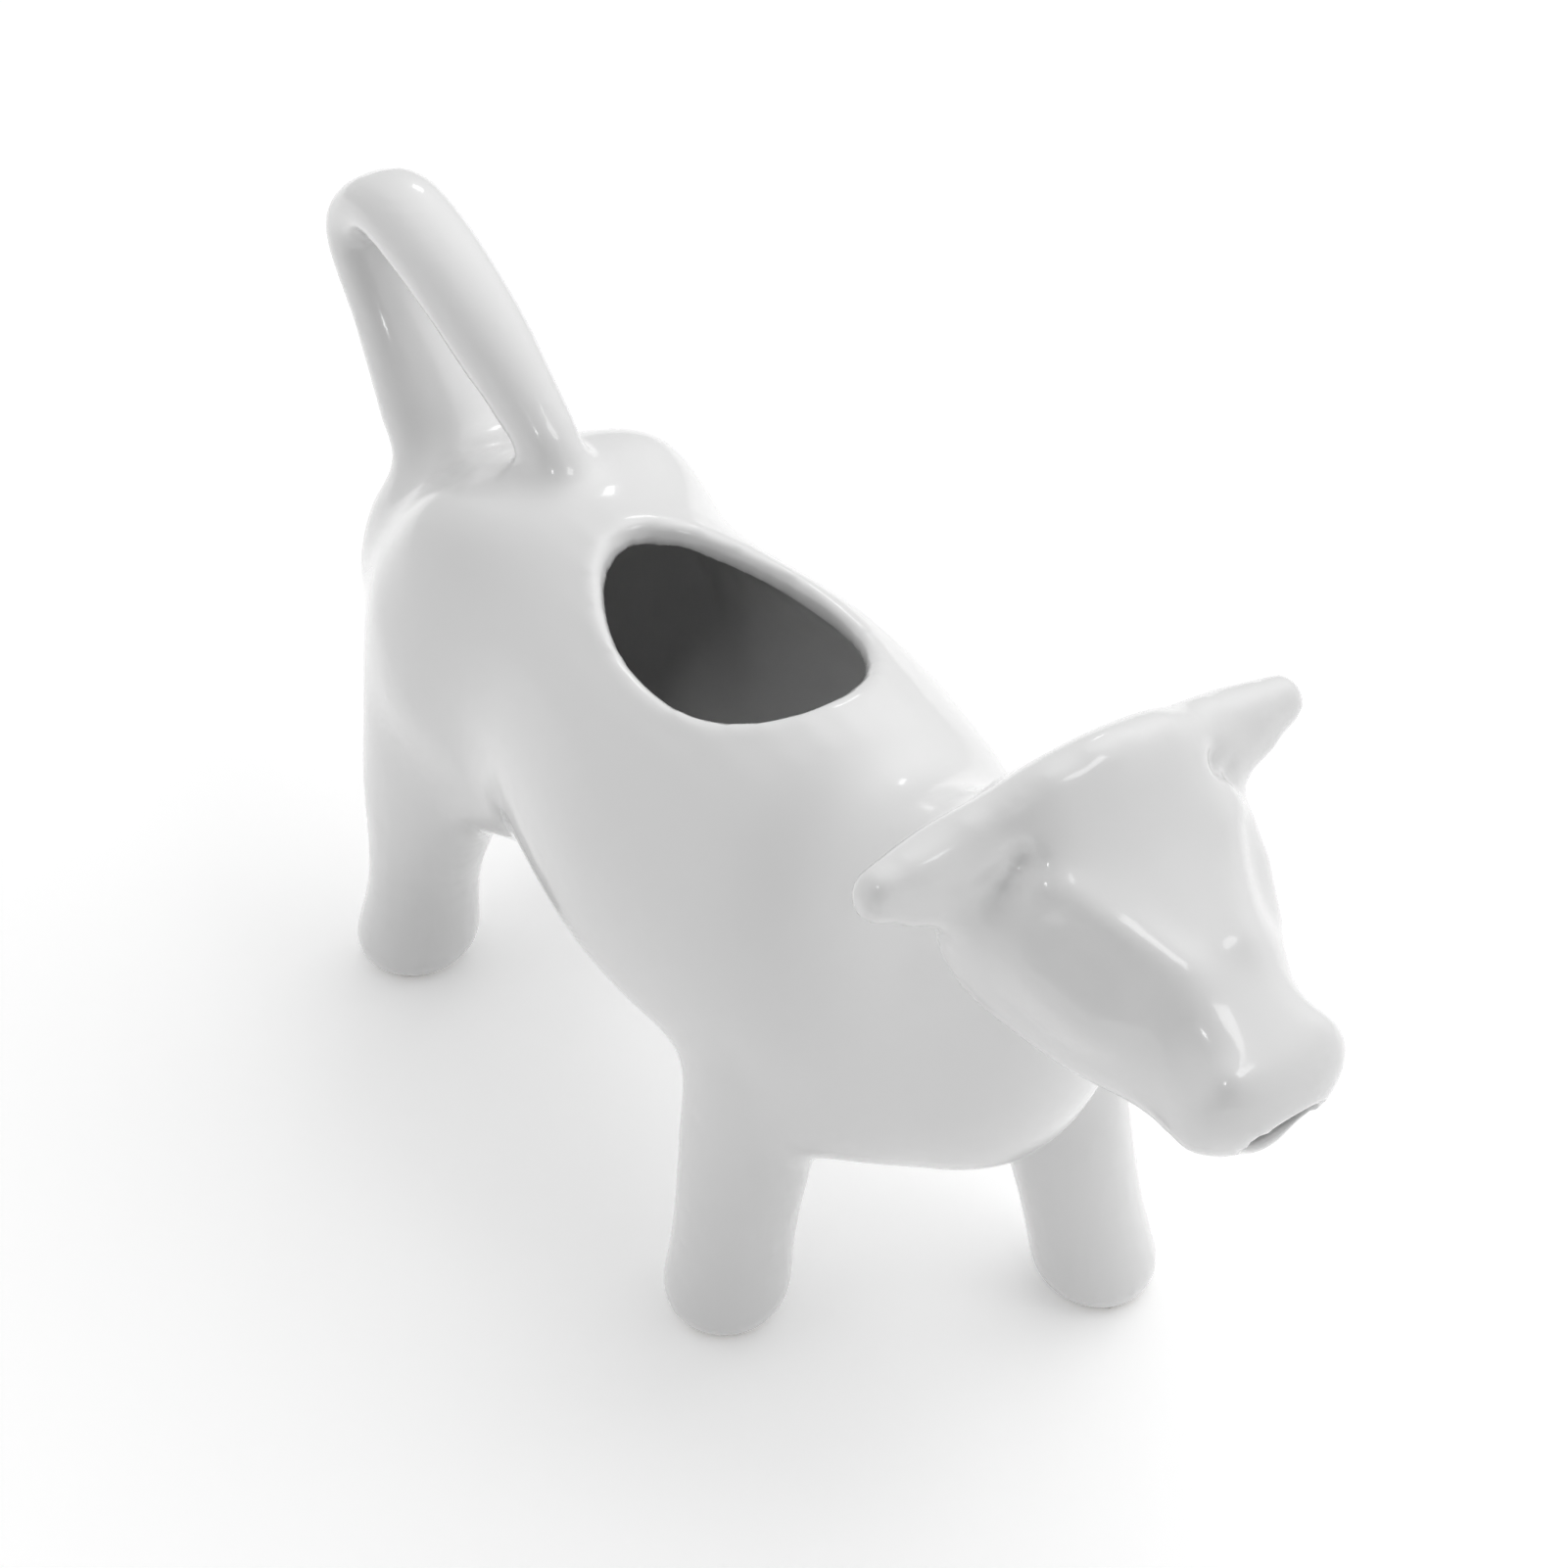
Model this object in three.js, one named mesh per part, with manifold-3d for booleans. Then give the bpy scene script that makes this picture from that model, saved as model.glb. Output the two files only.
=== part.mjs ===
import * as THREE from "three";
import { mergeVertices } from "three/addons/utils/BufferGeometryUtils.js";
import Module from "manifold-3d";

// Cow creamer of glazed porcelain: cast and pressed clay pieces, luted together and fired once.
// Millimetres. +X points to the mouth, +Y to the cow's left and +Z up; the feet stand on Z = 0.

// Wall of the hollow castings, and the slip joint between two pieces
const WALL = 3;
const LUTE_GAP = 0.3;

// Main sizes: length from the rump section to the neck section, and height of the barrel's middle
const LENGTH = 118;
const HEIGHT = 55;

// Barrel: sections from rump to neck, with centre x and z, lean in degrees, half width and half heights;
// square is the fullness of the corners, and 2 is an ellipse
const BARREL = {
  rump: { x: -0.525 * LENGTH, z: HEIGHT, lean: -14, width: 16.5, up: 20, down: 17, square: 2.4 },
  hips: { x: -0.39 * LENGTH, z: HEIGHT, lean: -6, width: 20.5, up: 25, down: 20, square: 2.6 },
  loin: { x: -0.203 * LENGTH, z: 0.99 * HEIGHT, lean: 0, width: 22, up: 26.5, down: 24, square: 2.2 },
  belly: { x: 0.025 * LENGTH, z: 0.973 * HEIGHT, lean: 2, width: 26, up: 29, down: 26, square: 2.1 },
  shoulder: { x: 0.229 * LENGTH, z: 0.99 * HEIGHT, lean: 12, width: 23.6, up: 27, down: 26, square: 2 },
  chest: { x: 0.373 * LENGTH, z: 1.09 * HEIGHT, lean: 32, width: 16.6, up: 21.6, down: 23.5, square: 2 },
  neck: { x: 0.475 * LENGTH, z: 1.382 * HEIGHT, lean: 50, width: 13, up: 14, down: 14, square: 2 },
};
const RUMP_END = 14;
const NECK_END = 9;

// Swells and hollows of the barrel: place from a section's centre, reach along x, y and z, and rise
const BARREL_SWELLS = [
  { from: BARREL.hips, x: 0, y: 20, z: -3, long: 16, wide: 12, high: 21, rise: 5 },
  { from: BARREL.hips, x: 4, y: 15, z: 21, long: 9, wide: 7, high: 8, rise: 2.4 },
  { from: BARREL.loin, x: -2, y: 22, z: -8, long: 8, wide: 12, high: 16, rise: -1.2 },
];

// Filling hole in the back: centre from the belly section, half length, half width, taper towards the tail,
// round of the rim
const HOLE = { x: -5, long: 20, wide: 12.5, taper: 0.2, round: 2.4 };

// Head: sections from skull to muzzle, measured from the centre of the neck section
const HEAD = {
  skull: { x: -2, z: 10.5, lean: -14, width: 13, up: 8.5, down: 10, square: 2 },
  brow: { x: 8, z: 11, lean: -16, width: 16.4, up: 10.5, down: 12, square: 2.8 },
  cheek: { x: 18, z: 7.3, lean: -20, width: 12.7, up: 9.6, down: 12.6, square: 2.8 },
  bridge: { x: 25.5, z: 5, lean: -20, width: 9, up: 8, down: 10.4, square: 2.8 },
  muzzle: { x: 31.2, z: 3, lean: -20, width: 9.6, up: 7.3, down: 5, square: 2.8 },
};
const SKULL_END = 6;
const NOSE_END = 5.5;

// Swells and hollow of the head, from the centre of the brow: crest between the ears, eyebrows, eye hollows
const CREST = { x: -4, y: 0, z: 13, long: 6, wide: 22, high: 11, rise: 10.8 };
const EYEBROW = { x: 5.5, y: 11, z: 9, long: 3.5, wide: 4, high: 4, rise: 1.2 };
const EYE = { x: 1, y: 13.5, z: 10, long: 3, wide: 3, high: 3.5, rise: -3.2 };

// Throat bored through the end of the neck, then mouth and lower lip, from the centre of the muzzle
const THROAT = 6.5;
const MOUTH = { x: 2, z: -1.7, lean: -4, wide: 4.9, high: 2.7, long: 16 };
const LIP = { x: -3.4, z: -3.2, lean: -20, long: 7, wide: 6.8, high: 2.9 };

// Ear: sections from root to tip, measured from the centre of the brow section
const EAR = {
  root: { x: -1.6, y: 3, z: 7, high: 8.2, deep: 2.6 },
  lobe: { x: -3, y: 16, z: 7.5, high: 6.2, deep: 4.8 },
  tip: { x: -3.2, y: 25, z: 9.6, high: 2.9, deep: 2.5 },
};
const EAR_END = 2.4;
const EAR_HOLLOW = 3.4;

// Tail handle: half widths and half thicknesses along its line, measured from the top of the hips
const TAIL = {
  rearRoot: { x: -12, z: -14, wide: 12, thick: 6 },
  dock: { x: -24, z: -5.5, wide: 8.5, thick: 5 },
  rise: { x: -34, z: 4, wide: 6.2, thick: 4.2 },
  bend: { x: -40, z: 14, wide: 5.9, thick: 4 },
  crown: { x: -33, z: 20.3, wide: 5.9, thick: 4 },
  fall: { x: -22, z: 18.5, wide: 5.8, thick: 4 },
  strap: { x: -9, z: 12.5, wide: 5.3, thick: 4 },
  waist: { x: 4, z: 4, wide: 4.2, thick: 3.8 },
  frontRoot: { x: 12, z: -6, wide: 5.5, thick: 5.5 },
};
const TAIL_SQUARE = 2.3;

// Feet: half width of the flat under the foot, and height of the round edge about it
const FOOT = { flat: 4.6, round: 4.4 };

// Legs: half widths at the foot, then half length, half width and height at ankle, thigh and root
const FRONT_LEG = {
  foot: 8,
  ankle: { long: 7.7, wide: 7.7, z: 15 },
  thigh: { long: 9.4, wide: 8.2, z: 33 },
  root: { long: 9.6, wide: 10.6, z: BARREL.shoulder.z },
};
const HIND_LEG = {
  foot: 8.8,
  ankle: { long: 8, wide: 8, z: 16 },
  thigh: { long: 12.4, wide: 9.8, z: 34 },
  root: { long: 14, wide: 11.6, z: BARREL.hips.z },
};

// Stance: reach of foot and root to the side, and their places along x from the section above them
const FRONT_STANCE = { y: 20.6, rootY: 12.5, left: 23, leftRoot: 13, right: -0.6, rightRoot: -1 };
const HIND_STANCE = { y: 21.4, rootY: 12.8, foot: -6, root: -1 };

const CERAMIC = { color: 0xf2f2f0, roughness: 0.12, metalness: 0 };

const wasm = await Module();
wasm.setup();

// Sections moved from the point they are measured from into the creamer's frame
function placed(sections, from) {
  const move = (s) => ({ ...s, x: from.x + s.x, z: from.z + s.z });
  return Object.fromEntries(Object.entries(sections).map(([name, s]) => [name, move(s)]));
}

// Solids and meshes

// Collapsed rings leave faces with no area, which are dropped
function solidOf(geometry) {
  geometry.deleteAttribute("normal");
  geometry.deleteAttribute("uv");
  const { attributes, index } = mergeVertices(geometry);
  const faces = [];
  for (let i = 0; i < index.count; i += 3) {
    const [a, b, c] = [index.getX(i), index.getX(i + 1), index.getX(i + 2)];
    if (a !== b && b !== c && c !== a) faces.push(a, b, c);
  }
  const vertProperties = new Float32Array(attributes.position.array);
  const triVerts = new Uint32Array(faces);
  return new wasm.Manifold(new wasm.Mesh({ numProp: 3, vertProperties, triVerts }));
}

function meshOf(name, solid) {
  const { vertProperties, triVerts } = solid.getMesh();
  const geometry = new THREE.BufferGeometry();
  geometry.setAttribute("position", new THREE.BufferAttribute(vertProperties, 3));
  geometry.setIndex(new THREE.BufferAttribute(triVerts, 1));
  geometry.computeVertexNormals();
  geometry.computeBoundingBox();
  const mesh = new THREE.Mesh(geometry, new THREE.MeshStandardMaterial(CERAMIC));
  mesh.name = name;
  return mesh;
}

// Lofts

const curveOf = (points) => new THREE.CatmullRomCurve3(points, false, "catmullrom", 0.5);
const ringOf = (count, place) => Array.from({ length: count }, (_, i) => place((i / count) * 2 * Math.PI));
const bulge = (v, square) => Math.sign(v) * Math.abs(v) ** (2 / square);
const quarterTurn = (steps) => Array.from({ length: steps }, (_, k) => (k / steps) * (Math.PI / 2));

// Closed skin over rings that run anticlockwise about the way they follow each other
function skin(rings) {
  const count = rings[0].length;
  const points = rings.flat();
  const index = [];
  for (let k = 0; k + 1 < rings.length; k++) {
    for (let i = 0; i < count; i++) {
      const a = k * count + i;
      const b = k * count + ((i + 1) % count);
      index.push(a, b, b + count, a, b + count, a + count);
    }
  }
  const last = points.length - count;
  for (let i = 1; i + 1 < count; i++) {
    index.push(0, i + 1, i, last, last + i, last + i + 1);
  }
  const geometry = new THREE.BufferGeometry().setFromPoints(points);
  geometry.setIndex(index);
  return solidOf(geometry);
}

// Barrel and head: leaning sections across a spine in the XZ plane, with a rounded end at either side

function bodyOf(sections, rearEnd, frontEnd, swells) {
  const curve = (pick) => curveOf(Object.values(sections).map(pick));
  return {
    spine: curve((s) => new THREE.Vector3(s.x, 0, s.z)),
    sizes: curve((s) => new THREE.Vector3(s.width, s.up, s.down)),
    forms: curve((s) => new THREE.Vector3(THREE.MathUtils.degToRad(s.lean), s.square, 0)),
    rearEnd,
    frontEnd,
    swells,
  };
}

function swellAt(swells, point) {
  let total = 0;
  for (const { from, x, y, z, long, wide, high, rise } of swells) {
    for (const side of y > 0 ? [1, -1] : [1]) {
      const dx = (point.x - from.x - x) / long;
      const dy = (point.y - side * y) / wide;
      const dz = (point.z - from.z - z) / high;
      total += rise * Math.exp(-dx * dx - dy * dy - dz * dz);
    }
  }
  return total;
}

function sectionRing(body, count, share, grow, shrink, shift) {
  const size = body.sizes.getPoint(share);
  const { x: lean, y: square } = body.forms.getPoint(share);
  const forward = new THREE.Vector3(Math.cos(lean), 0, Math.sin(lean));
  const upward = new THREE.Vector3(-Math.sin(lean), 0, Math.cos(lean));
  const centre = body.spine.getPoint(share).addScaledVector(forward, shift);
  return ringOf(count, (angle) => {
    const high = Math.sin(angle) > 0 ? size.y : size.z;
    const offset = upward.clone().multiplyScalar((high + grow) * shrink * bulge(Math.sin(angle), square));
    offset.y = (size.x + grow) * shrink * bulge(Math.cos(angle), square);
    const point = centre.clone().add(offset);
    return point.addScaledVector(offset.normalize(), swellAt(body.swells, point));
  });
}

function bodySolid(body, grow, steps, count) {
  const endAngles = quarterTurn(5);
  const rear = endAngles.map((angle) => {
    return sectionRing(body, count, 0, grow, Math.sin(angle), -(body.rearEnd + grow) * Math.cos(angle));
  });
  const front = endAngles.map((angle) => {
    return sectionRing(body, count, 1, grow, Math.sin(angle), (body.frontEnd + grow) * Math.cos(angle));
  });
  const shares = Array.from({ length: steps + 1 }, (_, k) => k / steps);
  const middle = shares.map((share) => sectionRing(body, count, share, grow, 1, 0));
  return skin([...rear, ...middle, ...front.reverse()]);
}

// Elliptic bar along a line that leans in the XZ plane
function barSolid(centre, lean, long, wide, high) {
  const bar = new THREE.CylinderGeometry(1, 1, long, 20);
  bar.rotateZ(Math.PI / 2);
  bar.scale(1, wide, high);
  bar.rotateY(-THREE.MathUtils.degToRad(lean));
  bar.translate(centre.x, centre.y, centre.z);
  return solidOf(bar);
}

function ballSolid(centre, lean, long, wide, high) {
  const ball = new THREE.SphereGeometry(1, 18, 10);
  ball.scale(long, wide, high);
  ball.rotateY(-THREE.MathUtils.degToRad(lean));
  ball.translate(centre.x, centre.y, centre.z);
  return solidOf(ball);
}

const barrel = bodyOf(BARREL, RUMP_END, NECK_END, BARREL_SWELLS);
const headSections = placed(HEAD, BARREL.neck);
const headSwells = [CREST, EYEBROW, EYE].map((swell) => ({ from: headSections.brow, ...swell }));
const head = bodyOf(headSections, SKULL_END, NOSE_END, headSwells);
const barrelOuter = bodySolid(barrel, 0, 26, 36);
const barrelKeepOut = bodySolid(barrel, LUTE_GAP, 26, 36);

// Height of the back above a point of the plan
const barrelMesh = meshOf("barrel_outer", barrelOuter);
function backHeight(x, y) {
  const above = new THREE.Vector3(x, y, barrelMesh.geometry.boundingBox.max.z + WALL);
  const down = new THREE.Raycaster(above, new THREE.Vector3(0, 0, -1));
  return down.intersectObject(barrelMesh)[0].point.z;
}

// Filling hole: an egg cut square to the plan, widened to a round rim where it meets the back
function holeSolid() {
  const ringAt = (depth, grow) => ringOf(44, (angle) => {
    const x = BARREL.belly.x + HOLE.x + (HOLE.long + grow) * Math.cos(angle);
    const y = (HOLE.wide + grow) * Math.sin(angle) * (1 + HOLE.taper * Math.cos(angle));
    return new THREE.Vector3(x, y, backHeight(x, y) - depth);
  });
  const rim = quarterTurn(5).map((angle) => {
    return ringAt(HOLE.round * (1 - Math.sin(angle)), HOLE.round * (1 - Math.cos(angle)));
  });
  return skin([ringAt(3 * WALL, 0), ...rim, ringAt(0, HOLE.round), ringAt(-WALL, HOLE.round)]);
}

function barrelShell() {
  const { x, z, lean } = BARREL.neck;
  const angle = THREE.MathUtils.degToRad(lean);
  const end = new THREE.Vector3(x + NECK_END * Math.cos(angle), 0, z + NECK_END * Math.sin(angle));
  const cavity = bodySolid(barrel, -WALL, 18, 24);
  const throat = barSolid(end, lean, 4 * WALL, THROAT, THROAT);
  return barrelOuter.subtract(cavity).subtract(holeSolid()).subtract(throat);
}

function headShell() {
  const { x, z } = headSections.muzzle;
  const lip = ballSolid(new THREE.Vector3(x + LIP.x, 0, z + LIP.z), LIP.lean, LIP.long, LIP.wide, LIP.high);
  const mouthCentre = new THREE.Vector3(x + MOUTH.x, 0, z + MOUTH.z);
  const mouth = barSolid(mouthCentre, MOUTH.lean, MOUTH.long, MOUTH.wide, MOUTH.high);
  const cavity = bodySolid(head, -WALL, 10, 20);
  return bodySolid(head, 0, 18, 28).add(lip).subtract(cavity).subtract(mouth).subtract(barrelKeepOut);
}

// Ear: a leaf of clay, hollowed along its lower front
function ear(side) {
  const sections = Object.values(placed(EAR, headSections.brow));
  const line = curveOf(sections.map((s) => new THREE.Vector3(s.x, s.y, s.z)));
  const sizes = curveOf(sections.map((s) => new THREE.Vector3(s.high, s.deep, 0)));
  const ringAt = (share, shrink, reach) => ringOf(20, (turn) => {
    const centre = line.getPoint(share);
    const { x: high, y: deep } = sizes.getPoint(share);
    const angle = side > 0 ? turn : 2 * Math.PI - turn;
    const hollow = EAR_HOLLOW * (1 - share) * Math.exp(-(((angle - 1.5) / 0.5) ** 2));
    const x = centre.x + (deep - hollow) * shrink * Math.sin(angle);
    const z = centre.z + (high - hollow) * shrink * Math.cos(angle);
    return new THREE.Vector3(x, side * (centre.y + reach), z);
  });
  const leaf = Array.from({ length: 11 }, (_, k) => ringAt(k / 10, 1, 0));
  const tip = quarterTurn(4).map((angle) => ringAt(1, Math.sin(angle), EAR_END * Math.cos(angle)));
  const headKeepOut = bodySolid(head, LUTE_GAP, 18, 28);
  return skin([...leaf, ...tip.reverse()]).subtract(headKeepOut).subtract(barrelKeepOut);
}

// Tail handle: a strap swept from the rump round the loop and down to the back
function tail() {
  const { x: hipsX, z: hipsZ, up } = BARREL.hips;
  const sections = Object.values(placed(TAIL, { x: hipsX, z: hipsZ + up }));
  const line = curveOf(sections.map((s) => new THREE.Vector3(s.x, 0, s.z)));
  const sizes = curveOf(sections.map((s) => new THREE.Vector3(s.wide, s.thick, 0)));
  const steps = 40;
  const rings = Array.from({ length: steps + 1 }, (_, k) => {
    const centre = line.getPoint(k / steps);
    const along = line.getTangent(k / steps);
    const outward = new THREE.Vector3(-along.z, 0, along.x);
    const { x: wide, y: thick } = sizes.getPoint(k / steps);
    return ringOf(16, (angle) => {
      const point = centre.clone().addScaledVector(outward, thick * bulge(Math.sin(angle), TAIL_SQUARE));
      point.y = wide * bulge(Math.cos(angle), TAIL_SQUARE);
      return point;
    });
  });
  return skin(rings).subtract(barrelKeepOut);
}

// Leg: a tapered limb from a flat foot with a round edge up into the barrel
function leg(sizes, section, side, stance, stride, rootShift) {
  const foot = new THREE.Vector3(section.x + stride, side * stance.y, 0);
  const root = new THREE.Vector3(section.x + rootShift, side * stance.rootY, section.z);
  const ringAt = (long, wide, z) => ringOf(20, (angle) => {
    const point = foot.clone().lerp(root, z / section.z);
    point.x += long * Math.cos(angle);
    point.y += wide * Math.sin(angle);
    point.z = z;
    return point;
  });
  const sole = quarterTurn(4).map((angle) => {
    const half = FOOT.flat + (sizes.foot - FOOT.flat) * Math.sin(angle);
    return ringAt(half, half, FOOT.round * (1 - Math.cos(angle)));
  });
  const ends = [sizes.ankle, sizes.thigh, sizes.root].map((s) => new THREE.Vector3(s.long, s.wide, s.z));
  const limb = curveOf([new THREE.Vector3(sizes.foot, sizes.foot, FOOT.round), ...ends]);
  const shank = limb.getPoints(11).map(({ x, y, z }) => ringAt(x, y, z));
  return skin([...sole, ...shank]).subtract(barrelKeepOut);
}

// Assembly

const cow = new THREE.Group();
cow.add(meshOf("barrel_shell", barrelShell()));
cow.add(meshOf("head_shell", headShell()));
cow.add(meshOf("left_ear", ear(1)));
cow.add(meshOf("right_ear", ear(-1)));
cow.add(meshOf("tail_handle", tail()));
const frontLeg = (side, foot, root) => leg(FRONT_LEG, BARREL.shoulder, side, FRONT_STANCE, foot, root);
const hindLeg = (side) => leg(HIND_LEG, BARREL.hips, side, HIND_STANCE, HIND_STANCE.foot, HIND_STANCE.root);
cow.add(meshOf("front_left_leg", frontLeg(1, FRONT_STANCE.left, FRONT_STANCE.leftRoot)));
cow.add(meshOf("front_right_leg", frontLeg(-1, FRONT_STANCE.right, FRONT_STANCE.rightRoot)));
cow.add(meshOf("hind_left_leg", hindLeg(1)));
cow.add(meshOf("hind_right_leg", hindLeg(-1)));

// The origin lies under the middle of the whole creamer
const middle = new THREE.Box3().setFromObject(cow).getCenter(new THREE.Vector3());
cow.position.x = -middle.x;

export default cow;
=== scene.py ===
"""Cow creamer of gloss white porcelain: a fired and glazed skin over the packed clay pieces, in metres."""
import math

import bpy
import numpy as np
from mathutils import Matrix, Vector
from mathutils.bvhtree import BVHTree


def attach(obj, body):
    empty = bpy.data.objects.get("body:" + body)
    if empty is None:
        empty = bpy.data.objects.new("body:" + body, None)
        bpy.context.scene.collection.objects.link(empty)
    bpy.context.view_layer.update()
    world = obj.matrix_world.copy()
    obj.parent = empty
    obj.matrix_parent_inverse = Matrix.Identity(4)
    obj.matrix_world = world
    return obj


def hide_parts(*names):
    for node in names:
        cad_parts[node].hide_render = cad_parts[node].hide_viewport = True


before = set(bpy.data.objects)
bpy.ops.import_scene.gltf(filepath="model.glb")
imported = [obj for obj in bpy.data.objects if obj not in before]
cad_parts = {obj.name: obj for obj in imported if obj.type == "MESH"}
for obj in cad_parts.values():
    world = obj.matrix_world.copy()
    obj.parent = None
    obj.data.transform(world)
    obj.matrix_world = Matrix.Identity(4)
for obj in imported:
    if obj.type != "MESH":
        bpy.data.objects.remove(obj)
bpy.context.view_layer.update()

# Fired skin: how far the clay grows across a slip joint, its grain, and the flat of the soles
LUTE_FILL = 0.00025
GRAIN = 0.0008
SOLE = 0.0005

# Work on the damp clay: wipes with the sponge over the barrel, the bar of crest and ears and the eye hollows,
# and rounds of polishing before and after the face is modelled
BARREL_WIPES = 70
CREST_BAR_WIPES = 70
EYE_WIPES = 30
FORM_POLISH = 14
FACE_POLISH = 3

# Joints where one clay piece runs into another: how far the slip fillet reaches, and how often it is wiped;
# FILLET_FULLNESS keeps the wipes whole near the joint before they fade
FILLETS = {
    ("front_left_leg", "barrel_shell"): (0.009, 110),
    ("front_right_leg", "barrel_shell"): (0.009, 110),
    ("hind_left_leg", "barrel_shell"): (0.012, 200),
    ("hind_right_leg", "barrel_shell"): (0.012, 200),
    ("tail_handle", "barrel_shell"): (0.0055, 60),
    ("left_ear", "head_shell"): (0.0045, 60),
    ("right_ear", "head_shell"): (0.0045, 60),
    ("head_shell", "barrel_shell"): (0.0025, 16),
}
FILLET_FULLNESS = 1.6

# Filling hole: centre along the back, half sizes over its rim, how much narrower it is towards the tail,
# the height that its rim lies above, and the distances from the rim where the wipes start and are whole
HOLE_X = -0.0035
HOLE_LONG = 0.0212
HOLE_WIDE = 0.0137
HOLE_TAPER = 0.2
HOLE_ABOVE = 0.064
RIM_FADE = (0.003, 0.009)

# Bar of crest and ears: where its wipes start and are whole along x and z, and where they fade out along y
CREST_BAR_X = (0.05, 0.052)
CREST_BAR_Y = (0.017, 0.022)
CREST_BAR_Z = (0.0965, 0.099)

# Strokes of the modelling tool: both ends, half width and rise. They are made on both sides of the cow, with
# their ends given on its left, apart from the front leg root, which is filled on the right alone. The leg
# roots get a coat of slip before each of their rounds of wipes.
LEG_ROOT_WIPES = (40, 60, 80, 160)
HIND_LEG_ROOTS = {
    "thigh_front": ((-0.0355, 0.011, 0.0335), (-0.0355, 0.0185, 0.0345), 0.008, 0.0009),
}
FRONT_LEG_ROOT = {
    "right_inside": ((0.0365, -0.01, 0.0365), (0.0368, -0.0165, 0.037), 0.007, 0.0008),
}
CREST_STROKES = {
    "crest": ((0.0605, 0, 0.1045), (0.0593, 0.015, 0.1), 0.0045, 0.0011),
    "ear_root": ((0.0594, 0.0095, 0.1018), (0.0592, 0.014, 0.1003), 0.0035, 0.0007),
}
EYE_HOLLOWS = {
    "eye_hollow": ((0.0644, 0.0121, 0.0983), (0.064, 0.0141, 0.0954), 0.0032, -0.0004),
}
FACE_STROKES = {
    "face_edge": ((0.0656, 0.013, 0.097), (0.0785, 0.0038, 0.0907), 0.0026, 0.0005),
    "face_side": ((0.0705, 0.0125, 0.0935), (0.076, 0.01, 0.0895), 0.0034, -0.0009),
    "cheek": ((0.07, 0.0135, 0.0878), (0.0738, 0.0122, 0.0848), 0.0036, 0.0009),
    "muzzle_waist": ((0.082, 0.0079, 0.0868), (0.0845, 0.0082, 0.0852), 0.0026, -0.0004),
    "lip_corner": ((0.0874, 0.0064, 0.0852), (0.0878, 0.0062, 0.085), 0.002, 0.0004),
    "eye_crease": ((0.0644, 0.0123, 0.0981), (0.0641, 0.0138, 0.0958), 0.0015, -0.0017),
}

# How far a face of the skin is looked for from the clay piece that it belongs to
OWNER_REACH = 0.02

# Glaze: deep and thin white, bare clay under the feet, heights where the glaze starts and is whole,
# and scales of its clouds and ripples
DEEP_WHITE = (0.77, 0.77, 0.77, 1)
THIN_WHITE = (0.81, 0.81, 0.81, 1)
BARE_CLAY = (0.7, 0.67, 0.62, 1)
GLAZE_STARTS = (0.0002, 0.0009)
CLOUD_SCALE = 22
RIPPLE_SCALE = 120
RIPPLE_DEPTH = 0.0002

# Studio: paper floor, tent and softboxes. Directions are turns and rises in degrees, see way().
FLOOR_SIZE = 6
PAPER = (0.95, 0.95, 0.95, 1)
PAPER_LIFT = 0.2
TENT_WHITE = (1, 1, 1, 1)
TENT_LEVEL = 0.7

# Glows of the tent: strength, narrowness, turn and rise; the first one is its dim opening, at the camera
TENT_GLOWS = [
    (-0.68, 5, 320, 38),
    (1.0, 7, 112, 54),
    (0.32, 6, 90, 34),
    (0.38, 6, 45, 5),
    (0.34, 6, 250, 0),
]

# Softboxes, all 1 m off: turn, rise, width and watts
SOFTBOXES = {
    "right_box": (34, 62, 0.2, 0.35),
    "camera_box": (308, 58, 0.09, 0.22),
    "back_box": (142, 38, 0.1, 0.1),
}

# Camera: place, turn and rise of its back, sensor and lens in millimetres
CAMERA_PLACE = (0.19559, -0.13085, 0.2545)
CAMERA_TURN = -35
CAMERA_RISE = 40
CAMERA_SENSOR = 36
CAMERA_LENS = 58.46346


def only(piece):
    bpy.ops.object.select_all(action="DESELECT")
    piece.select_set(True)
    bpy.context.view_layer.objects.active = piece


def finish_with(piece, kind, **settings):
    """Adds one modifier with its settings and applies it."""
    only(piece)
    modifier = piece.modifiers.new(kind.lower(), kind)
    for name, value in settings.items():
        setattr(modifier, name, value)
    bpy.ops.object.modifier_apply(modifier=modifier.name)


def vectors_of(items, kind):
    flat = np.zeros(len(items) * 3)
    items.foreach_get(kind, flat)
    return flat.reshape(-1, 3)


def points_of(mesh):
    return vectors_of(mesh.vertices, "co")


# Fired body: the clay pieces grown together across their slip joints

def clay_copy(node):
    piece = bpy.data.objects.new(node + "_clay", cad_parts[node].data.copy())
    bpy.context.scene.collection.objects.link(piece)
    only(piece)
    bpy.ops.mesh.customdata_custom_splitnormals_clear()
    bpy.ops.object.mode_set(mode="EDIT")
    bpy.ops.mesh.select_all(action="SELECT")
    bpy.ops.mesh.remove_doubles(threshold=1e-6)
    bpy.ops.object.mode_set(mode="OBJECT")
    return piece


def distance_to(node, points, reach):
    """Distance from each point to a clay piece, as far as reach."""
    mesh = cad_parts[node].data
    tree = BVHTree.FromPolygons([v.co for v in mesh.vertices], [p.vertices for p in mesh.polygons])
    corners = points_of(mesh)
    near = ((points > corners.min(0) - reach) & (points < corners.max(0) + reach)).all(1)
    distance = np.full(len(points), reach)
    for i in np.nonzero(near)[0]:
        hit = tree.find_nearest(Vector(points[i]), reach)
        if hit[0] is not None:
            distance[i] = hit[3]
    return distance


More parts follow.
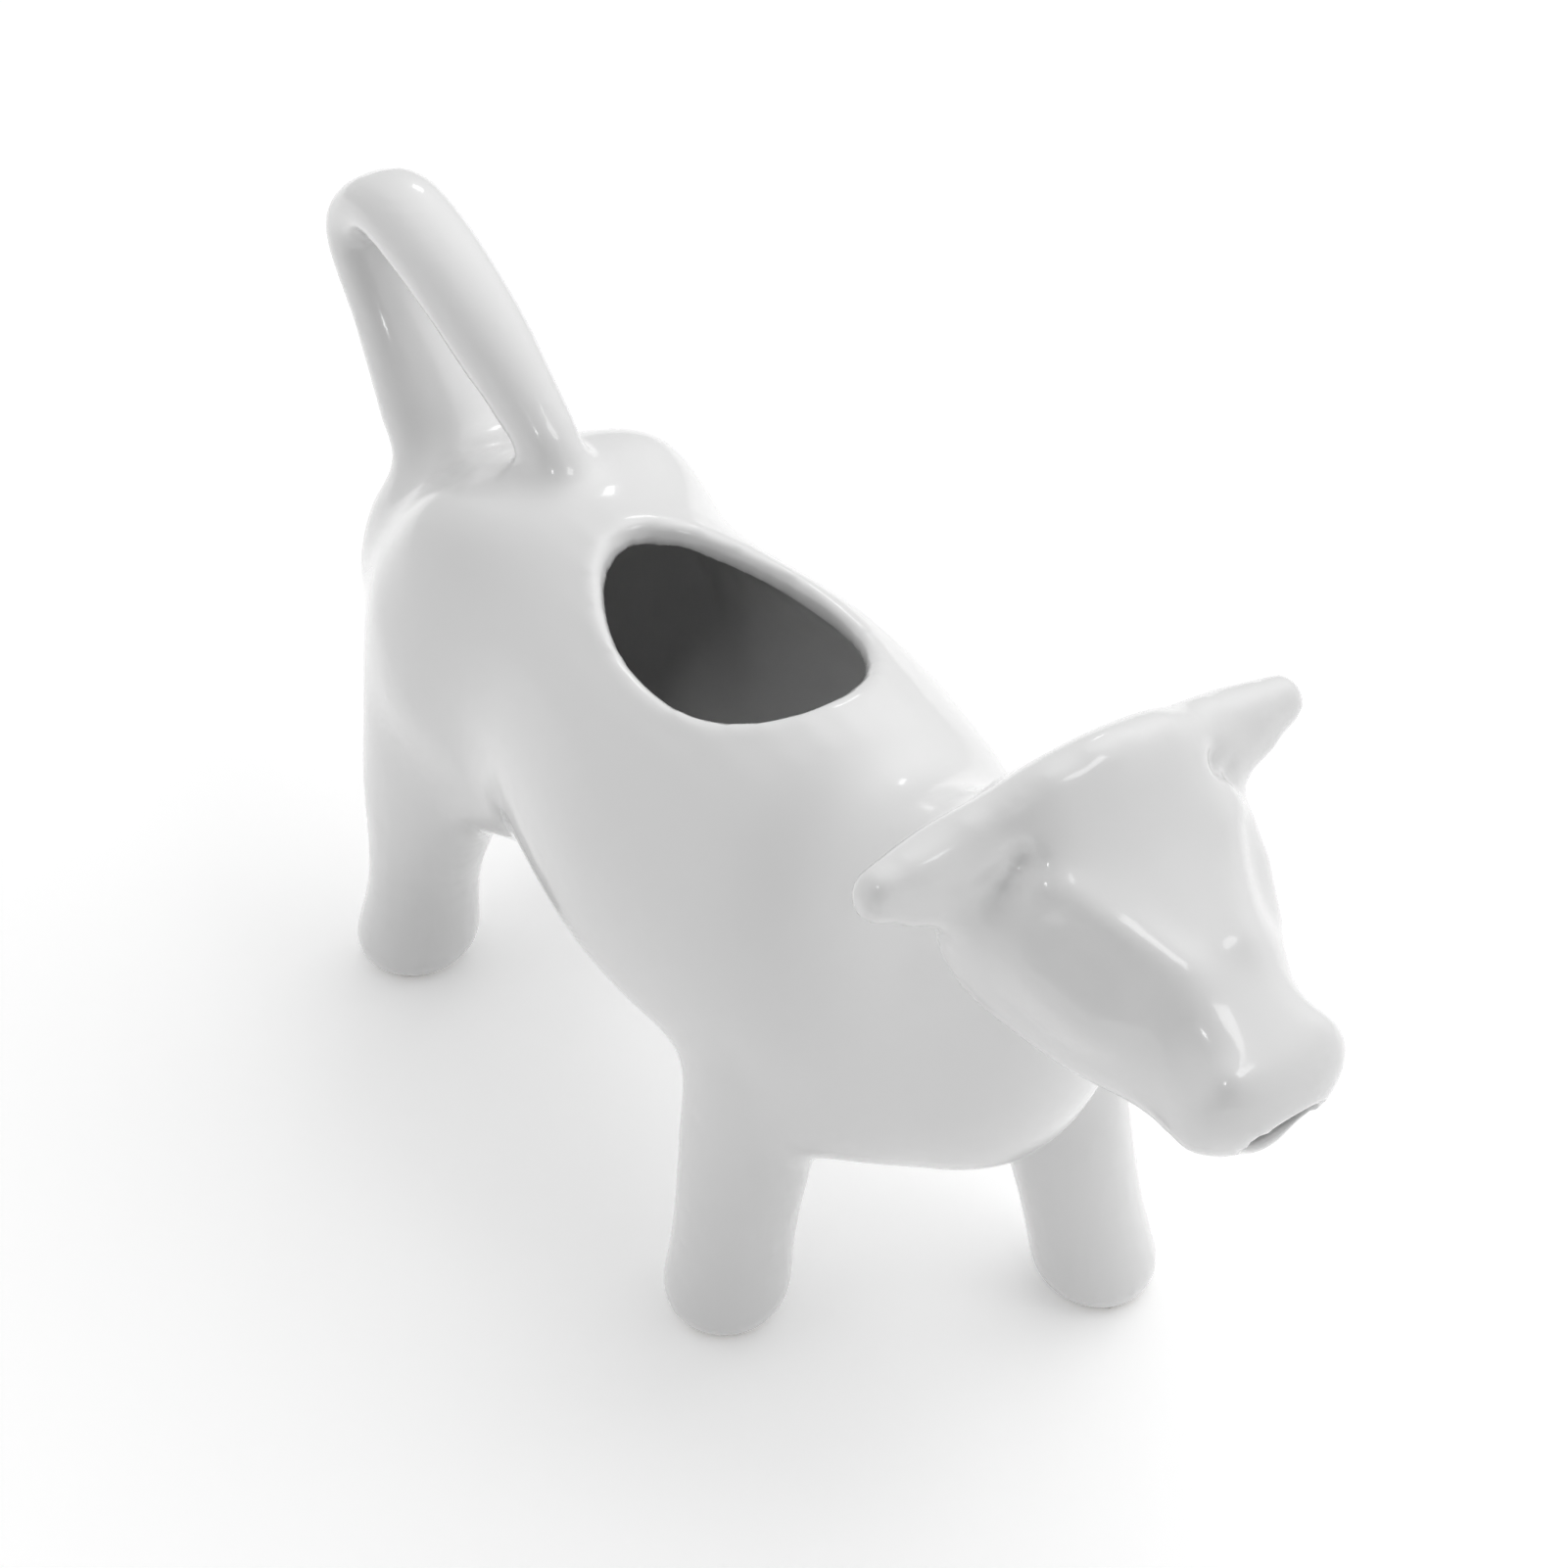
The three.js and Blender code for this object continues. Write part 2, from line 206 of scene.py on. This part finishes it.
def work_where(share, piece, kind, **settings):
    """Applies one modifier where share is above 0."""
    group = piece.vertex_groups.new(name="worked")
    for i in np.nonzero(share > 0.001)[0]:
        group.add([int(i)], float(share[i]), "REPLACE")
    finish_with(piece, kind, vertex_group="worked", **settings)
    piece.vertex_groups.remove(piece.vertex_groups["worked"])


def wipe(piece, share, wipes):
    """Smooths the clay where share is above 0."""
    work_where(share, piece, "SMOOTH", factor=0.5, iterations=wipes)


def stroke(piece, strokes, both_sides=True, wipes=0):
    """Raises or presses the clay along each stroke, fading to its sides, and wipes it there."""
    for start, end, wide, rise in strokes.values():
        start = np.array(start)
        run = np.array(end) - start
        points = points_of(piece.data)
        if both_sides:
            points[:, 1] = np.abs(points[:, 1])
        along = np.clip((points - start) @ run / (run @ run), 0, 1)
        off = np.linalg.norm(points - start - along[:, None] * run, axis=1)
        share = np.exp(-(off / wide) ** 2)
        work_where(share, piece, "DISPLACE", strength=rise, mid_level=0)
        if wipes:
            wipe(piece, share, wipes)


def polish(piece, rounds):
    """Takes the facets off without shrinking: each wipe inwards is followed by one outwards."""
    for _ in range(rounds):
        finish_with(piece, "SMOOTH", factor=0.5, iterations=5)
        finish_with(piece, "SMOOTH", factor=-0.52, iterations=5)


def ramp(value, start, end):
    """0 up to start, 1 from end."""
    return np.clip((value - start) / (end - start), 0, 1)


def away_from_rim(points):
    """0 at the rim of the filling hole, 1 well off it."""
    x, y, z = points.T
    along = (x - HOLE_X) / HOLE_LONG
    ring = np.hypot(along, y / HOLE_WIDE / (1 + HOLE_TAPER * np.clip(along, -1, 1)))
    off = np.abs(ring - 1) * HOLE_WIDE
    return np.where(z > HOLE_ABOVE, ramp(off, *RIM_FADE), 1)


def on_crest_bar(points):
    """1 on the bar of crest and ears, 0 well off it."""
    x, y, z = points.T
    return ramp(z, *CREST_BAR_Z) * (1 - ramp(np.abs(y), *CREST_BAR_Y)) * ramp(x, *CREST_BAR_X)


def flatten_soles(piece):
    only(piece)
    for vertex in piece.data.vertices:
        vertex.select = vertex.co.z < SOLE
    bpy.ops.object.mode_set(mode="EDIT")
    bpy.ops.mesh.select_mode(type="VERT")
    bpy.ops.transform.resize(value=(1, 1, 0), center_override=(0, 0, 0))
    bpy.ops.object.mode_set(mode="OBJECT")


def joined_clay():
    """All clay pieces as one mesh, grown together across their slip joints."""
    clay = [clay_copy(node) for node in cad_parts]
    for piece in clay:
        finish_with(piece, "DISPLACE", strength=LUTE_FILL, mid_level=0)
    bpy.ops.object.select_all(action="DESELECT")
    for piece in clay:
        piece.select_set(True)
    bpy.context.view_layer.objects.active = clay[0]
    bpy.ops.object.join()
    skin = clay[0]
    skin.name = "fired_skin"
    finish_with(skin, "REMESH", mode="VOXEL", voxel_size=GRAIN)
    return skin


def wipe_joints(skin):
    """Wipes the barrel, apart from the rim of the hole, and the slip fillets round each joint."""
    points = points_of(skin.data)
    reach = max(reach for reach, _ in FILLETS.values())
    away = {node: distance_to(node, points, reach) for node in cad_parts}
    others = np.min([away[node] for node in away if node != "barrel_shell"], axis=0)
    wipe(skin, np.where(away["barrel_shell"] < others, away_from_rim(points), 0), BARREL_WIPES)
    for (first, second), (reach, wipes) in FILLETS.items():
        share = 1 - np.maximum(away[first], away[second]) / reach
        wipe(skin, np.clip(FILLET_FULLNESS * share, 0, 1), wipes)


def model_forms(skin):
    """Leg roots, crest and face."""
    for wipes in LEG_ROOT_WIPES:
        stroke(skin, HIND_LEG_ROOTS, wipes=wipes)
        stroke(skin, FRONT_LEG_ROOT, both_sides=False, wipes=wipes)
    stroke(skin, CREST_STROKES)
    wipe(skin, on_crest_bar(points_of(skin.data)), CREST_BAR_WIPES)
    polish(skin, FORM_POLISH)
    stroke(skin, EYE_HOLLOWS, wipes=EYE_WIPES)
    stroke(skin, FACE_STROKES)
    polish(skin, FACE_POLISH)


def fired_skin():
    skin = joined_clay()
    wipe_joints(skin)
    model_forms(skin)
    finish_with(skin, "DISPLACE", strength=-LUTE_FILL, mid_level=0)
    flatten_soles(skin)
    only(skin)
    bpy.ops.object.shade_smooth()
    return skin


# Pieces: the skin is parted again along the slip joints, and each cut is closed inside the joint

def part_skin(skin):
    """Gives each face of the skin to the nearest clay piece, and keeps the whole skin's normals."""
    mesh = skin.data
    names = list(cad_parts)
    centres = vectors_of(mesh.polygons, "center")
    owner = np.argmin([distance_to(node, centres, OWNER_REACH) for node in names], axis=0)
    normals = vectors_of(mesh.vertices, "normal").ravel()
    mesh.attributes.new("glaze_normal", "FLOAT_VECTOR", "POINT").data.foreach_set("vector", normals)
    mesh.materials.clear()
    for name in names:
        mesh.materials.append(bpy.data.materials.new("clay_" + name))
    mesh.polygons.foreach_set("material_index", owner.astype(np.int32))
    owners = {}
    for face in mesh.polygons:
        for key in face.edge_keys:
            owners.setdefault(key, set()).add(owner[face.index])
    neck = {names.index("barrel_shell"), names.index("head_shell")}
    for edge in mesh.edges:
        edge.use_seam = owners[edge.key] == neck
    only(skin)
    bpy.ops.object.mode_set(mode="EDIT")
    bpy.ops.mesh.select_all(action="SELECT")
    bpy.ops.mesh.separate(type="MATERIAL")
    bpy.ops.object.mode_set(mode="OBJECT")
    pieces = {}
    for piece in list(bpy.context.selected_objects):
        name = piece.data.materials[piece.data.polygons[0].material_index].name.removeprefix("clay_")
        piece.name = "glazed_" + name
        pieces[name] = piece
    return pieces


def select_open_edges(piece, neck_only):
    only(piece)
    bpy.ops.object.mode_set(mode="EDIT")
    bpy.ops.mesh.select_mode(type="EDGE")
    bpy.ops.mesh.select_all(action="DESELECT")
    bpy.ops.mesh.select_non_manifold(
        use_wire=False, use_multi_face=False, use_non_contiguous=False, use_verts=False
    )
    bpy.ops.object.mode_set(mode="OBJECT")
    for edge in piece.data.edges:
        edge.select = edge.select and (edge.use_seam or not neck_only)
    return sum(edge.select for edge in piece.data.edges)


def close_cuts(piece):
    """Bridges the wall where head and barrel part, and closes every other cut to a point inside the joint."""
    if select_open_edges(piece, True):
        bpy.ops.object.mode_set(mode="EDIT")
        bpy.ops.mesh.bridge_edge_loops()
        bpy.ops.object.mode_set(mode="OBJECT")
    select_open_edges(piece, False)
    bpy.ops.object.mode_set(mode="EDIT")
    bpy.ops.mesh.fill_holes(sides=0)
    bpy.ops.mesh.select_mode(type="FACE")
    bpy.ops.mesh.select_face_by_sides(number=4, type="GREATER", extend=False)
    bpy.ops.mesh.poke()
    bpy.ops.object.mode_set(mode="OBJECT")
    normals = vectors_of(piece.data.attributes["glaze_normal"].data, "vector")
    piece.data.normals_split_custom_set_from_vertices(normals)


pieces = part_skin(fired_skin())
for name, piece in pieces.items():
    close_cuts(piece)
    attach(piece, "root")
    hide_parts(name)


# Finishes: shader values that can be added, multiplied and so on like numbers

class Wire:
    """One value on its way between shader nodes."""

    def __init__(self, graph, socket):
        self.graph = graph
        self.socket = socket

    def math(self, operation, *values):
        return self.graph.add("ShaderNodeMath", {"operation": operation}, dict(enumerate(values)))["Value"]

    def __add__(self, other):
        return self.math("ADD", self, other)

    def __sub__(self, other):
        return self.math("SUBTRACT", self, other)

    def __rsub__(self, other):
        return self.math("SUBTRACT", other, self)

    def __mul__(self, other):
        return self.math("MULTIPLY", self, other)

    def __pow__(self, other):
        return self.math("POWER", self, other)

    def at_least(self, other):
        return self.math("MAXIMUM", self, other)

    __radd__ = __add__
    __rmul__ = __mul__


class Graph:
    """The shader nodes of one material or of the studio."""

    def __init__(self, owner):
        owner.use_nodes = True
        self.tree = owner.node_tree
        self.tree.nodes.clear()

    def add(self, kind, settings=None, values=None):
        node = self.tree.nodes.new(kind)
        for name, value in (settings or {}).items():
            setattr(node, name, value)
        for name, value in (values or {}).items():
            if isinstance(value, Wire):
                self.tree.links.new(value.socket, node.inputs[name])
            else:
                node.inputs[name].default_value = value
        return {socket.name: Wire(self, socket) for socket in node.outputs if socket.enabled}

    def mixed(self, share, first, second):
        values = {"Factor": share, 6: first, 7: second}
        return self.add("ShaderNodeMix", {"data_type": "RGBA"}, values)["Result"]

    def stepped(self, value, start, end):
        values = {"Value": value, "From Min": start, "From Max": end}
        return self.add("ShaderNodeMapRange", {"interpolation_type": "SMOOTHSTEP"}, values)["Result"]

    def noise(self, place, scale, detail):
        values = {"Vector": place, "Scale": scale, "Detail": detail}
        return self.add("ShaderNodeTexNoise", None, values)["Fac"]


def make_glaze():
    """Clear gloss over white porcelain, bare and matt under the feet."""
    material = bpy.data.materials.new("glaze")
    graph = Graph(material)
    place = graph.add("ShaderNodeTexCoord")["Object"]
    height = graph.add("ShaderNodeSeparateXYZ", None, {"Vector": place})["Z"]
    bare = 1 - graph.stepped(height, *GLAZE_STARTS)
    cloud = graph.noise(place, CLOUD_SCALE, 2)
    ripple = graph.noise(place, RIPPLE_SCALE, 1)
    colour = graph.mixed(bare, graph.mixed(cloud, DEEP_WHITE, THIN_WHITE), BARE_CLAY)
    waves = {"Strength": 0.12, "Distance": RIPPLE_DEPTH, "Height": ripple}
    bump = graph.add("ShaderNodeBump", None, waves)["Normal"]
    shader = graph.add("ShaderNodeBsdfPrincipled", None, {
        "Base Color": colour,
        "Roughness": 0.2 + 0.05 * ripple + 0.5 * bare,
        "Coat Weight": 0.9 - 0.9 * bare,
        "Coat Roughness": 0.07,
        "Normal": bump,
    })["BSDF"]
    graph.add("ShaderNodeOutputMaterial", None, {"Surface": shader})
    return material


glaze = make_glaze()
for piece in pieces.values():
    piece.data.materials.clear()
    piece.data.materials.append(glaze)


# Floor, light and camera

scene = bpy.context.scene
scene.view_settings.view_transform = "Standard"


def seen_directly(graph):
    """1 for what the camera sees, also by reflection or through glass."""
    path = graph.add("ShaderNodeLightPath")
    return path["Is Camera Ray"].at_least(path["Is Glossy Ray"]).at_least(path["Is Transmission Ray"])


def make_floor():
    """Pale paper, lifted a little where it is seen, so that it shows white and keeps the shadow."""
    bpy.ops.mesh.primitive_plane_add(size=FLOOR_SIZE)
    floor = bpy.context.active_object
    floor.name = "floor"
    paper = bpy.data.materials.new("paper")
    graph = Graph(paper)
    sheet = graph.add("ShaderNodeBsdfDiffuse", None, {"Color": PAPER})["BSDF"]
    lift = graph.add("ShaderNodeEmission", None, {"Strength": PAPER_LIFT * seen_directly(graph)})["Emission"]
    both = graph.add("ShaderNodeAddShader", None, {0: sheet, 1: lift})["Shader"]
    graph.add("ShaderNodeOutputMaterial", None, {"Surface": both})
    floor.data.materials.append(paper)


def way(turn, rise):
    """Unit vector to a place round the creamer, in degrees from its nose towards its left and up."""
    turn = math.radians(turn)
    rise = math.radians(rise)
    return Vector((math.cos(turn) * math.cos(rise), math.sin(turn) * math.cos(rise), math.sin(rise)))


def light_studio():
    """A white tent, open and dim towards the camera, that glows most above and behind the creamer."""
    world = bpy.data.worlds.new("studio")
    scene.world = world
    graph = Graph(world)
    place = graph.add("ShaderNodeTexCoord")["Generated"]
    level = TENT_LEVEL
    for strength, narrow, turn, rise in TENT_GLOWS:
        values = {0: place, 1: way(turn, rise)}
        towards = graph.add("ShaderNodeVectorMath", {"operation": "DOT_PRODUCT"}, values)["Value"]
        level = level + strength * towards.at_least(0) ** narrow
    values = {"Color": TENT_WHITE, "Strength": level}
    tent = graph.add("ShaderNodeBackground", None, values)["Background"]
    graph.add("ShaderNodeOutputWorld", None, {"Surface": tent})


def softbox(name, turn, rise, size, watts):
    lamp = bpy.data.lights.new(name, "AREA")
    lamp.shape = "SQUARE"
    lamp.size = size
    lamp.energy = watts
    box = bpy.data.objects.new(name, lamp)
    scene.collection.objects.link(box)
    box.location = way(turn, rise)
    box.rotation_mode = "QUATERNION"
    box.rotation_quaternion = way(turn, rise).to_track_quat("Z", "Y")


def place_camera():
    lens = bpy.data.cameras.new("camera")
    lens.sensor_width = CAMERA_SENSOR
    lens.lens = CAMERA_LENS
    lens.clip_start = 0.01
    camera = bpy.data.objects.new("camera", lens)
    scene.collection.objects.link(camera)
    back = way(CAMERA_TURN, CAMERA_RISE)
    right = Vector((0, 0, 1)).cross(back).normalized()
    turned = Matrix((right, back.cross(right), back)).transposed()
    camera.matrix_world = Matrix.Translation(CAMERA_PLACE) @ turned.to_4x4()
    scene.camera = camera


make_floor()
light_studio()
for name, settings in SOFTBOXES.items():
    softbox(name, *settings)
place_camera()
